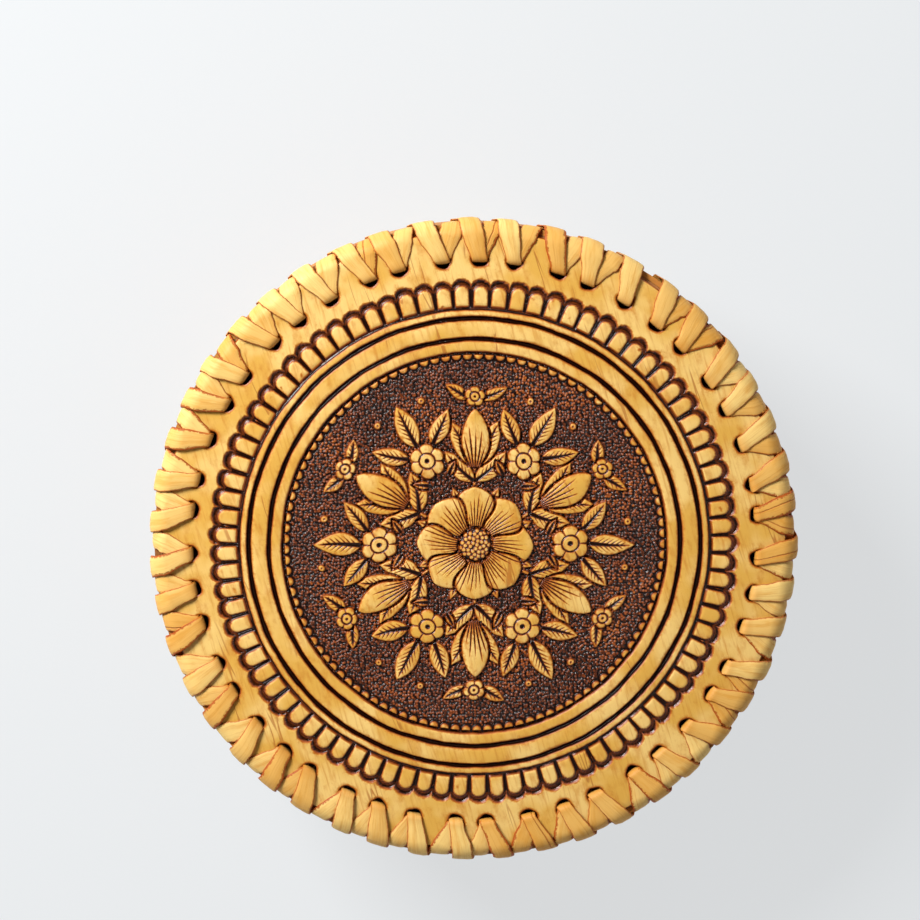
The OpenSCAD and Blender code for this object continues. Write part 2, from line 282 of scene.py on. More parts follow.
def leaf(size, width, bend=0.0, spacing=1.35):
    """A leaf along +u. Its half width is half the width times a sine that
    peaks nearer the base. A wedge is carved along the midrib, and slanting
    strokes taper out from it, by turns on either side."""
    def outline(u, v):
        t = np.clip(u / size, 0, 1)
        v = v - bend * size * t * t
        half = width / 2 * np.sin(math.pi * t ** 0.85) ** 0.8
        past_end = np.minimum(u, size - u)
        inside = np.where(past_end < 0, -np.hypot(past_end, v), half - np.abs(v))
        rib = smooth((0.3 + 0.5 * (1 - t) - np.abs(v)) / 0.42) * smooth((0.95 - t) / 0.2)
        reach = np.clip(1 - np.abs(v) / (0.85 * half + 1e-6), 0, 1)
        phase = (u - 1.25 * np.abs(v)) / spacing + 0.5 * (v > 0)
        veins = strokes(phase, 0.34 * reach - 0.1) * (reach > 0)
        veins = veins * smooth((t - 0.08) / 0.08) * smooth((0.85 - t) / 0.15)
        return inside, np.maximum(rib, 0.85 * veins)
    return outline


def petal(size, width, heart, strokes_l, blunt=1.6, ray=0.1):
    """A petal along +u, broadest beyond its middle, starting `heart` from its
    flower's centre. Dark strokes fan out from the centre for a length that
    changes from stroke to stroke, over a scorch that fades outwards."""
    def outline(u, v):
        t = np.clip(u / size, 0, 1)
        half = width / 2 * np.sin(math.pi * t ** blunt) ** 0.6
        half = np.maximum(half, width * 0.22 * (t < 0.3))
        past_end = np.minimum(u, size - u)
        inside = np.where(past_end < 0, -np.hypot(past_end, v), half - np.abs(v))
        bearing = np.arctan2(v, u + heart) / ray
        far = strokes_l * (0.6 + 0.6 * scatter(np.round(bearing), 0, size))
        reach = np.clip(1 - u / far, 0, 1)
        fan = strokes(bearing, 0.34 * reach ** 0.6 - 0.06) * (reach > 0)
        return inside, np.maximum(0.9 * fan, 0.5 * np.exp(-np.maximum(u, 0) / 2.2))
    return outline


def blossom(size, lobes=6):
    """A round blossom: its radius swells in even lobes, parted by short dark
    cuts, round a ringed eye."""
    def outline(u, v):
        r = np.hypot(u, v)
        a = np.arctan2(v, u)
        edge = size * (0.78 + 0.22 * np.abs(np.sin(lobes / 2 * a)) ** 0.6)
        parting = strokes(a * lobes / TAU, 0.03 + 0.03 * r / size, 0.12) * (r > 0.45 * size)
        ring = smooth((0.4 - np.abs(r - 0.42 * size)) / 0.34)
        eye = smooth((0.16 * size - r) / 0.35)
        return edge - r, np.maximum(np.maximum(0.8 * parting, 0.85 * ring), eye)
    return outline


def seed_head(radius, seeds=40):
    """A dome of seeds laid out by the golden angle: seed i lies at a radius
    that goes with the square root of i."""
    i = np.arange(seeds)
    seed_u = radius * 0.9 * np.sqrt((i + 0.5) / seeds) * np.cos(i * GOLDEN_ANGLE)
    seed_v = radius * 0.9 * np.sqrt((i + 0.5) / seeds) * np.sin(i * GOLDEN_ANGLE)

    def outline(u, v):
        r = np.hypot(u, v)
        carving = np.zeros(u.shape)
        near = r < radius * 1.05
        apart = np.hypot(u[near][:, None] - seed_u, v[near][:, None] - seed_v).min(axis=1)
        carving[near] = smooth((apart - 0.3) / 0.42) * 0.9
        return radius - r, carving
    return outline


def stem(size, width):
    """A straight stem along +u with round ends."""
    def outline(u, v):
        beyond = np.maximum(np.maximum(-u, u - size), 0)
        return width / 2 - np.hypot(beyond, v), np.full(u.shape, 0.1)
    return outline


def berry(radius):
    """A round berry with a dark dot at its crown."""
    def outline(u, v):
        r = np.hypot(u, v)
        return radius - r, 0.8 * smooth((0.42 - r) / 0.35)
    return outline


def polar(r, a):
    return r * np.cos(a), r * np.sin(a)


def press_tulip(sheet, lid, a):
    """A tulip on its stem: two leaves, two side petals and the middle petal
    over them. Beyond its tip, a bud of five lobes between two leaflets."""
    leaf_l, leaf_w, tulip_l = lid.leaf_l / MM, lid.leaf_l * lid.leaf_share / MM, lid.tulip_l / MM
    tulip_r, flower_r = lid.tulip_r / MM, lid.flower_r / MM
    base = polar(tulip_r, a)
    sheet.raise_shape(polar(flower_r - 2, a), a, stem(tulip_r - flower_r + 3, 1.3), 0.1, -0.15)
    for side in (-1, 1):
        sheet.raise_shape(polar(flower_r + 1.5, a), a + side * math.radians(52),
                          leaf(leaf_l * 0.9, leaf_w * 0.9, side * -0.12), 0.3, -0.05)
        sheet.raise_shape(base, a + side * math.radians(24),
                          leaf(tulip_l * 0.94, tulip_l * 0.4, side * 0.1, 1.4), 0.3, -0.1)
    sheet.raise_shape(base, a, petal(tulip_l, tulip_l * 0.52, 3, 9, 1.0, 0.13), 0.5, 0.0)
    for side in (-1, 1):
        sheet.raise_shape(polar(lid.bud_r / MM - 0.6, a + side * 0.035),
                          a + side * math.radians(68),
                          leaf(leaf_l * 0.62, leaf_w * 0.62, side * -0.08), 0.25, -0.05)
    sheet.raise_shape(polar(lid.bud_r / MM, a), a + math.pi / 5, blossom(lid.bud_size / MM, 5),
                      0.3, 0.0)


def press_blossom(sheet, lid, a):
    """A small blossom with a fan of three leaves outside it, two leaflets
    between it and the middle flower, and berries beyond its leaves."""
    leaf_l, leaf_w, size = lid.leaf_l / MM, lid.leaf_l * lid.leaf_share / MM, lid.blossom_size / MM
    blossom_r = lid.blossom_r / MM
    centre = polar(blossom_r, a)
    for turn, share in ((-50, 0.85), (50, 0.85), (0, 1.0)):
        heading = a + math.radians(turn)
        at = np.add(centre, polar(size - 0.5, heading))
        sheet.raise_shape(at, heading, leaf(leaf_l * share, leaf_w * share), 0.32, -0.05)
    for side in (-1, 1):
        sheet.raise_shape(polar(blossom_r - size - 0.9, a + side * 0.13), a + side * 1.0,
                          leaf(5.2, 2.5, 0, 1.1), 0.2, -0.15)
        sheet.raise_shape(polar(blossom_r + size + leaf_l - 2.2, a + side * 0.16), 0,
                          berry(1.2), 0.3)
    sheet.raise_shape(centre, a, blossom(size), 0.4, 0.05)


def press_middle_flower(sheet, lid):
    """Sepals, broad petals over them, and the seed head on top."""
    petals, flower_r, seed_r = lid.petals, lid.flower_r / MM, lid.seed_r / MM
    width = flower_r * math.sin(math.pi / petals) * 1.9
    for k in range(petals):
        a = (k + 0.5) * TAU / petals
        sheet.raise_shape(polar(seed_r, a), a, leaf(flower_r - seed_r + 1.4, 4.4), 0.1, -0.2)
    for k in range(petals):
        a = k * TAU / petals
        sheet.raise_shape(polar(seed_r * 0.6, a), a,
                          petal(flower_r - seed_r * 0.6, width, seed_r * 0.6, 9.0), 0.5)
    sheet.raise_shape((0, 0), 0, seed_head(seed_r), 0.6, 0.1)


def emboss_field(x, y, lid):
    """Height and burn of the sunk field: stippling, flowers and beads. Each
    pebble of the stippling is a dome round its point, and a bead is a dome
    with its outer side cut off by the field's edge."""
    field_r, relief = lid.field_r / MM, lid.relief / MM
    hand_x = x + 0.3 * wander(x, y, 19, 11)
    hand_y = y + 0.3 * wander(x, y, 19, 12)
    sheet = Emboss(hand_x, hand_y, -relief)
    for k in range(lid.sprays):
        press_tulip(sheet, lid, (k + 0.5) * TAU / lid.sprays)
    for k in range(lid.sprays):
        press_blossom(sheet, lid, k * TAU / lid.sprays)
    press_middle_flower(sheet, lid)
    nearest, second, tone = pebbles(x, y, lid.pebble / MM, 5)
    ground = smooth((sheet.burn - 0.62) / 0.33) * smooth((-0.35 - sheet.height) / 0.3)
    knob = np.sqrt(np.clip(1 - (nearest / 0.58) ** 2, 0, 1))
    seam = smooth((0.2 - (second - nearest)) / 0.2)
    lift = (0.26 + 0.2 * tone) * knob - 0.12 * seam + 0.07 * wander(x, y, 9, 3)
    height = sheet.height + ground * lift
    worn = smooth((wander(x, y, 21, 8) + 0.9) / 2.2)
    rubbed = (0.28 + 0.2 * tone + 0.3 * worn * (tone > 0.35)) * knob ** 1.5
    burn = sheet.burn - ground * rubbed
    r, a = np.hypot(x, y), np.arctan2(y, x)
    step = TAU / lid.beads
    along = (a - np.round(a / step) * step) * r
    bead = 1.0 - np.hypot(along / (0.46 * step * field_r), (r - (field_r - 0.55)) / 1.35)
    bead = np.minimum(bead, (field_r - 0.3 - r) / 0.7)
    ditch = smooth((bead + 0.4) / 0.3)
    lump = smooth(bead / 0.25)
    height = mix(mix(height, -relief, ditch), 0.36 * np.sqrt(np.clip(bead, 0, 1)) - 0.32, lump)
    burn = mix(mix(burn, 1.0, ditch), 0.1 + 0.6 * np.exp(-np.clip(bead, 0, 1) / 0.2), lump)
    return height, np.clip(burn + 0.05 * wander(x, y, 1.7, 21), 0, 1)


def groove(r, middle, width):
    """A V-shaped cut with a scorched lip: its depth, 1 at the middle of the
    width and 0 at its edges, and its burn, which fades out past them."""
    off = np.abs(r - middle)
    depth = np.clip(1.15 - off / (width / 2), 0, 1) ** 0.8
    lip = 0.4 * np.exp(-np.maximum(off - width / 2, 0) / 0.2)
    return depth, np.maximum(smooth((width / 2 + 0.14 - off) / 0.34), lip)


def swell(r, low, high):
    """A ring's rounded top: 1 in its middle, 0 at its edges."""
    t = np.clip((r - low) / (high - low), 0, 1)
    return np.sqrt(np.clip(4 * t * (1 - t), 0, 1))


def emboss_border(r, a, lid):
    """Height and burn of the border: rounded rings between dark grooves, and
    the arches, whose pads are parted by dark cuts with a thin ridge in them.
    Over an arch the cut widens to a crescent with a thin lighter line in it.
    A pad's depth is its half width less the distance from its axis, or from
    its top's centre beyond that, and less than its distance from the base."""
    x, y = r * np.cos(a), r * np.sin(a)
    hand = r + 0.08 * wander(x, y, 14, 31) + 0.03 * wander(x, y, 3.1, 32)
    relief, field_r = lid.relief / MM, lid.field_r / MM
    inner, outer = lid.inner_groove_r / MM, lid.outer_groove_r / MM
    groove_w, line_w = lid.groove_w / MM, lid.line_w / MM
    arch_r, arch_h, arch_cut = lid.arch_line_r / MM, lid.arch_h / MM, lid.arch_cut_w / MM
    uneven = 1 + 0.07 * wander(x, y, 9, 33)
    rings = ((field_r, 0.8, 1.0), (inner, groove_w * uneven, 1.0),
             (outer, groove_w * uneven, 1.0), (arch_r, line_w, 0.7))
    cuts = [(depth * share, burn) for middle, width, share in rings
            for depth, burn in [groove(hand, middle, width)]]
    depth = np.maximum.reduce([cut[0] for cut in cuts])
    burn = np.maximum.reduce([cut[1] for cut in cuts])
    tops = 0.3 * np.maximum.reduce([
        swell(r, field_r, inner), swell(r, inner, outer), swell(r, outer, arch_r)])
    height = tops - relief * 0.9 * depth

    step = TAU / lid.arches
    cell = np.round(a / step)
    along = np.abs((a - cell * step) * r + 0.14 * (scatter(cell, 1, 2) - 0.5))
    pitch = step * (arch_r + arch_h / 2)
    half = pitch / 2 - arch_cut / 2 + 0.1 * (scatter(cell, 2, 2) - 0.5)
    base = arch_r + line_w / 2
    centre_r = base + arch_h - half + 0.4 * (scatter(cell, 3, 2) - 0.5)
    beyond = np.maximum(hand - centre_r, 0)
    pad = np.minimum(half - np.hypot(along, beyond), hand - base - 0.15)
    overhead = beyond / (np.hypot(along, beyond) + 1e-6)
    reach = lid.arch_top_w / MM * (0.7 + 0.5 * overhead + 0.1 * wander(x, y, 5, 35)
                                   + 0.06 * wander(x, y, 0.9, 34))
    outside_line = smooth((hand - base + 0.2) / 0.3)
    cut = smooth((pad + reach) / 0.5) * smooth(0.6 - pad / 0.35) * outside_line
    crest = np.exp(-((pad + 0.42) / 0.2) ** 2) * smooth((beyond - 0.3) / 1.0)
    ridge = np.exp(-((step * r / 2 - along) / 0.16) ** 2) * (1 - crest) * (pad < 0)
    pillow = (1 - np.exp(-np.maximum(pad, 0) / 0.45)) * outside_line
    height = height - cut * (0.62 - 0.16 * crest - 0.2 * ridge) + 0.12 * pillow
    above = smooth((beyond - 0.2) / 0.8)
    scorched = cut * (1.04 - 0.2 * above - 0.2 * crest - 0.1 * ridge)
    fade = 0.3 * np.exp(-np.maximum(-pad - reach, 0) / 0.16) * (pad < 0) * outside_line
    lip = 0.48 * np.exp(-np.maximum(pad, 0) / 0.2) * (pad > -0.3) * outside_line
    spots = 0.3 * smooth((wander(x, y, 2.9, 38, 9) - 1.4) / 0.8) * (pad > 0)
    burn = np.maximum.reduce([burn, scorched, fade, lip, spots])
    height = height + 0.05 * wander(x, y, 23, 36)
    return height, np.clip(burn + 0.03 * wander(x, y, 1.6, 37), 0, 1)


# ---- Meshes -----------------------------------------------------------------
def make_piece(name, points, faces, body, replaced, flat=()):
    """A mesh piece from an array of points in millimetres and blocks of faces,
    that rides on a body and stands for CAD nodes. The blocks whose numbers are
    in flat are shaded flat."""
    mesh = bpy.data.meshes.new(name)
    rows = [np.asarray(block) for block in faces]
    mesh.vertices.add(len(points))
    mesh.vertices.foreach_set("co", (np.asarray(points) * MM).astype(np.float32).ravel())
    sizes = np.concatenate([np.full(len(block), block.shape[1]) for block in rows])
    mesh.loops.add(int(sizes.sum()))
    mesh.polygons.add(len(sizes))
    mesh.loops.foreach_set("vertex_index", np.concatenate([b.ravel() for b in rows]))
    starts = np.concatenate([[0], np.cumsum(sizes)[:-1]])
    mesh.polygons.foreach_set("loop_start", starts)
    shade = [np.full(len(block), i not in flat) for i, block in enumerate(rows)]
    mesh.polygons.foreach_set("use_smooth", np.concatenate(shade))
    mesh.update(calc_edges=True)
    mesh.validate()
    piece = bpy.data.objects.new(name, mesh)
    bpy.context.scene.collection.objects.link(piece)
    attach(piece, body)
    if replaced:
        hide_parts(*replaced)
    return piece


def set_attribute(piece, name, values):
    """Stores one number per vertex under that name."""
    layer = piece.data.attributes.new(name, "FLOAT", "POINT")
    layer.data.foreach_set("value", np.asarray(values, dtype=np.float32))


def grid_faces(rows, columns, first=0, wrap=False):
    """Quads of a grid of points stored row by row. With wrap, the last column
    joins the first."""
    r = np.arange(rows - 1)[:, None] * columns
    c = np.arange(columns if wrap else columns - 1)[None, :]
    n = (c + 1) % columns
    return np.stack([r + c, r + n, r + columns + n, r + columns + c], -1).reshape(-1, 4) + first


def zip_rings(points, inner, outer):
    """Triangles between two rings round the axis, given as point numbers. Each
    edge of one ring goes with the point of the other that was passed last."""
    def by_angle(ring):
        a = np.arctan2(points[ring, 1], points[ring, 0]) % TAU
        order = np.argsort(a)
        return ring[order], a[order]

    def last_passed(angles, ends, side):
        return (np.searchsorted(np.append(angles, angles + TAU), ends, side) - 1) % len(angles)
    inner, inner_a = by_angle(inner)
    outer, outer_a = by_angle(outer)
    far = last_passed(outer_a, np.append(inner_a[1:], inner_a[0] + TAU), "right")
    near = last_passed(inner_a, np.append(outer_a[1:], outer_a[0] + TAU), "left")
    return np.concatenate([np.stack([inner, outer[far], np.roll(inner, -1)], -1),
                           np.stack([inner[near], outer, np.roll(outer, -1)], -1)])


def weld(points, faces):
    """Joins points that coincide. Returns the kept points' old numbers too."""
    _, kept, new = np.unique(np.round(points, 5), axis=0, return_index=True,
                             return_inverse=True)
    return points[kept], [new.ravel()[block] for block in faces], kept


def disc_grid(radius, cells):
    """A square grid of points carried onto a disc so that squares keep their
    area: a point's larger coordinate gives its radius, and the ratio of the
    two gives its angle within the quarter."""
    side = np.linspace(-1, 1, cells + 1)
    u, v = np.meshgrid(side, side)
    wide = np.abs(u) > np.abs(v)
    big = np.where(wide, u, v)
    ratio = np.where(wide, v, u) / np.where(big == 0, 1, big)
    a = np.where(wide, ratio, 2 - ratio) * math.pi / 4
    return radius * big * np.cos(a), radius * big * np.sin(a)


def field_pieces(lid, panel_t):
    """The lid's middle in four quarters, so that each has a fine mesh: the
    embossed face above, an upright wall and a flat fan below, closed."""
    cells = 300
    x, y = disc_grid(lid.field_r / MM - 0.02, 2 * cells)
    height, burn = emboss_field(x, y, lid)
    face = np.stack([x, y, LID_FACE_Z + height], -1)
    side = cells + 1
    index = np.arange(side * side).reshape(side, side)
    rim = np.concatenate([index[0, :-1], index[:-1, -1], index[-1, :0:-1], index[:0:-1, 0]])
    here = np.arange(len(rim))
    after = np.roll(here, -1)
    pieces = []
    for quarter, row, column in (("sw", 0, 0), ("se", 0, 1), ("nw", 1, 0), ("ne", 1, 1)):
        part = tuple(slice(start * cells, start * cells + side) for start in (row, column))
        top = face[part].reshape(-1, 3)
        below = top[rim].copy()
        below[:, 2] = LID_FACE_Z - panel_t
        points = np.concatenate([top, below, below.mean(axis=0)[None]])
        wall = np.stack([rim[after], rim[here], len(top) + here, len(top) + after], -1)
        fan = np.stack([len(top) + after, len(top) + here,
                        np.full(len(rim), len(points) - 1)], -1)
        piece = make_piece(f"lid_field_{quarter}", points, [grid_faces(side, side), wall, fan],
                           "lid", ["lid_panel"], flat=(1, 2))
        set_attribute(piece, "burn", np.concatenate([burn[part].ravel(),
                                                     np.full(len(rim) + 1, 0.3)]))
        pieces.append(piece)
    return pieces


def arch_grid(lid, meet_r):
    """Radii and angles of the border's rings and spokes. Rings draw together
    at the grooves and the arches' tops, and spokes at the cuts between arches."""
    field_r, line_r = lid.field_r / MM, lid.arch_line_r / MM
    inner, outer = lid.inner_groove_r / MM, lid.outer_groove_r / MM
    spoke = np.array([0, 0.035, 0.075, 0.115, 0.16, 0.23, 0.35, 0.5, 0.65, 0.77, 0.84, 0.885,
                      0.925, 0.965])
    spokes = ((np.arange(lid.arches)[:, None] + 0.5 + spoke) * TAU / lid.arches).ravel()
    stops = [(field_r, 8), (inner - 0.9, 9), (inner + 0.9, 5), (outer - 0.9, 9),
             (outer + 0.9, 4), (line_r - 0.4, 5), (line_r + 0.4, 4), (line_r + 3.2, 18),
             (line_r + 8.2, 1), (meet_r, 0)]
    rings = [np.linspace(start, end, steps, endpoint=False)
             for (start, steps), (end, _) in zip(stops, stops[1:])]
    return np.concatenate(rings + [[meet_r]]), spokes


def sector_edges(low_a, high_a, low_r, high_r, arc_in, arc_out, sides):
    """Radii and angles round each hole's sector, counter-clockwise from the
    inner corner at its low angle: out, across, in and back."""
    out, across = np.arange(sides) / sides, np.arange(arc_out) / arc_out
    back = 1 - np.arange(arc_in) / arc_in
    r_share = np.concatenate([out, np.ones(arc_out), 1 - out, np.zeros(arc_in)])
    a_share = np.concatenate([0 * out, across, np.ones(sides), back])
    r = low_r + (high_r - low_r) * r_share
    return (np.broadcast_to(r, (len(low_a), len(r))),
            low_a[:, None] + (high_a - low_a)[:, None] * a_share)


def border_piece(lid, lacing, panel_t):
    """The lid's border and laced margin, as one closed solid. From the field
    to a circle outside the arches it is a grid of rings and spokes. Outside
    that circle each hole has a sector, filled with rings that grow from the
    hole to the sector's edges."""
    foot_z, edge_r = LID_FACE_Z - panel_t, PANEL_R - 0.45
    meet_r = lid.arch_line_r / MM + 9.0
    rings, spokes = arch_grid(lid, meet_r - 0.3)
    r, a = np.meshgrid(rings, spokes, indexing="ij")
    height, burn = emboss_border(r, a, lid)
    z = np.concatenate([np.full((1, len(spokes)), foot_z), LID_FACE_Z + height])
    r, a = np.concatenate([r[:1], r]), np.concatenate([a[:1], a])
    grid = np.stack([r * np.cos(a), r * np.sin(a), z], -1).reshape(-1, 3)
    grid_burn = np.concatenate([np.full(len(spokes), 0.5), burn.ravel()])

    holes = lacing.lid_holes
    k = np.arange(holes)
    middle, before, after = (hole_angle(k + step, holes, lacing) for step in (0, -1, 1))
    arc_in, arc_out, sides = 22, 12, 8
    out_r, out_a = sector_edges((before + middle) / 2, (middle + after) / 2,
                                meet_r, edge_r, arc_in, arc_out, sides)
    out_x, out_y = polar(out_r, out_a)
    hole_x, hole_y = (c[:, None] for c in polar(LID_HOOP_R - lacing.hole_inset / MM, middle))
    bearing = np.arctan2(out_y - hole_y, out_x - hole_x)
    lip_r = lacing.hole_r / MM * (0.98 + 0.05 * np.sin(3 * bearing + 2.4 * k[:, None])
                                  + 0.03 * np.sin(5 * bearing + 1.3 * k[:, None]))
    lip_x, lip_y = hole_x + lip_r * np.cos(bearing), hole_y + lip_r * np.sin(bearing)
    share = np.array([0, 0.05, 0.12, 0.28, 0.55, 1])[None, :, None]
    x, y = mix(lip_x[:, None], out_x[:, None], share), mix(lip_y[:, None], out_y[:, None], share)
    height, burn = emboss_border(np.hypot(x, y), np.arctan2(y, x), lid)
    from_lip = np.hypot(x - hole_x[:, None], y - hole_y[:, None]) - lip_r[:, None]
    sunk = 0.25 * np.exp(-from_lip / 0.25) * (1 - share)
    top = np.stack([x, y, LID_FACE_Z + height - sunk], -1)
    # The bark darkens towards each hole's lip.
    burn = np.maximum(burn, 0.7 * np.exp(-from_lip / 0.3))
    feet = top[:, [-1, 0]].copy()
    feet[..., 2] = foot_z
    sector = np.concatenate([feet, top], 1)
    levels, around = sector.shape[1:3]
    # Painted shade: both rows of feet are nearly black, so the walls of the holes are painted dark
    # as the shade inside them.
    sector_burn_and_shade = np.concatenate([np.full((holes, 2, around), 1.0), burn], 1)

    rim = top[:, -1, sides:sides + arc_out].reshape(-1, 3)
    bulge = np.array([(0, 0), (0.3, 0.1), (0.45, 0.4), (0.45, 0.75), (0, 1)])
    rim_a = np.arctan2(rim[:, 1], rim[:, 0])
    rim_r = edge_r + bulge[:, :1] + 0 * rim_a
    rim_z = mix(rim[:, 2], foot_z, bulge[:, 1:])
    edge = np.stack([rim_r * np.cos(rim_a), rim_r * np.sin(rim_a), rim_z], -1)

    points = np.concatenate([grid, sector.reshape(-1, 3), edge.reshape(-1, 3)])
    first, per_hole = len(grid), levels * around
    first_edge = first + holes * per_hole
    one = grid_faces(levels, around, 0, True)
    sector_faces = one[None] + (first + k * per_hole)[:, None, None]
    inner_arc = np.concatenate([[0], np.arange(around - arc_in + 1, around)])
    arcs = (first + k * per_hole)[:, None] + inner_arc
    last_ring = len(grid) - len(spokes) + np.arange(len(spokes))
    faces = [grid_faces(len(rings) + 1, len(spokes), 0, True)[:, ::-1],
             sector_faces[:, 2 * around:].reshape(-1, 4)[:, ::-1],
             sector_faces[:, :2 * around].reshape(-1, 4)[:, ::-1],
             grid_faces(len(bulge), len(rim), first_edge, True)[:, ::-1],
             zip_rings(points, last_ring, (arcs + (levels - 1) * around).ravel()),
             zip_rings(points, np.arange(len(spokes)), arcs.ravel())[:, ::-1]]
    burn = np.concatenate([grid_burn, sector_burn_and_shade.ravel(), np.full(edge.shape[:2], 0.35).ravel()])
    points, faces, kept = weld(points, faces)
    piece = make_piece("lid_border", points, faces, "lid", ["lid_panel"],
                       flat=(2,))
    set_attribute(piece, "burn", burn[kept])
    return piece


# ---- Lacing -----------------------------------------------------------------
def hole_angle(k, holes, lacing):
    """Angle of hole k, counted from the lacing's start: even spacing plus the
    stray of the punch."""
    stray = lacing.wander * np.sin(np.mod(k, holes) * math.radians(137.5))
    return lacing.start + (k + stray) * TAU / holes


def outside(before, after, off):
    """From a corner to its point on the line that runs outside both faces at
    that distance: the sum of the two unit normals over one plus their product."""
    return (before + after) / (1 + before @ after) * off


def lace_turn(hoop_r, panel_t, lacing, off, leg, pressed):
    """One turn of a strip, as radius and depth below the panel's face: up
    through the panel, over its edge, down the hoop, in through the hoop and
    back inside: pressed into the corner, or straight across it. Half of the
    pitch passes outside and half inside."""
    inset, drop = lacing.hole_inset / MM, lacing.hole_depth / MM
    hoop_t, lean = lacing.hoop_t / MM, lacing.panel_inset / MM
    face, side = np.array([0, -1]), np.array([1, 0])
    slope = np.array([panel_t, -lean]) / math.hypot(panel_t, lean)
    over = np.array([hoop_r - lean, 0]) + outside(face, slope, off)
    down = np.array([hoop_r, panel_t]) + outside(slope, side, off)
    in_panel = np.array([hoop_r - inset + leg, panel_t + off])
    in_hoop = np.array([hoop_r - hoop_t - off, drop - leg])
    inner = (in_hoop[0], in_panel[1]) if pressed else (in_panel + in_hoop) / 2
    corners = np.array([in_panel, (in_panel[0], -off), over, down,
                        (hoop_r + off, in_hoop[1]), in_hoop, inner])
    return corners, np.array([0, 0, 0.25, 0.29, 0.5, 0.5, 0.74])


def round_corners(path, reach):
    """A path with each corner replaced by a quadratic curve that leaves it
    its reach before the corner and joins it again as far after, and three
    more points on each straight run."""
    apart = np.linalg.norm(np.diff(path[:, :3] * [1, 80, 1], axis=0), axis=1)
    cut = np.minimum(np.minimum(apart[:-1], apart[1:]) * 0.49, reach[1:-1])
    corner = path[1:-1]
    start = corner + (path[:-2] - corner) * (cut / apart[:-1])[:, None]
    end = corner + (path[2:] - corner) * (cut / apart[1:])[:, None]
    t = np.linspace(0, 1, 9)[None, :, None]
    curve = start[:, None] * (1 - t) ** 2 + 2 * corner[:, None] * t * (1 - t) + end[:, None] * t * t
    run = np.array([0.25, 0.5, 0.75])[None, :, None]
    straight = end[:-1, None] + (start[1:] - end[:-1])[:, None] * run
    middle = np.concatenate([curve[:-1], straight], 1).reshape(-1, path.shape[1])
    return np.concatenate([path[:1], middle, curve[-1], path[-1:]])


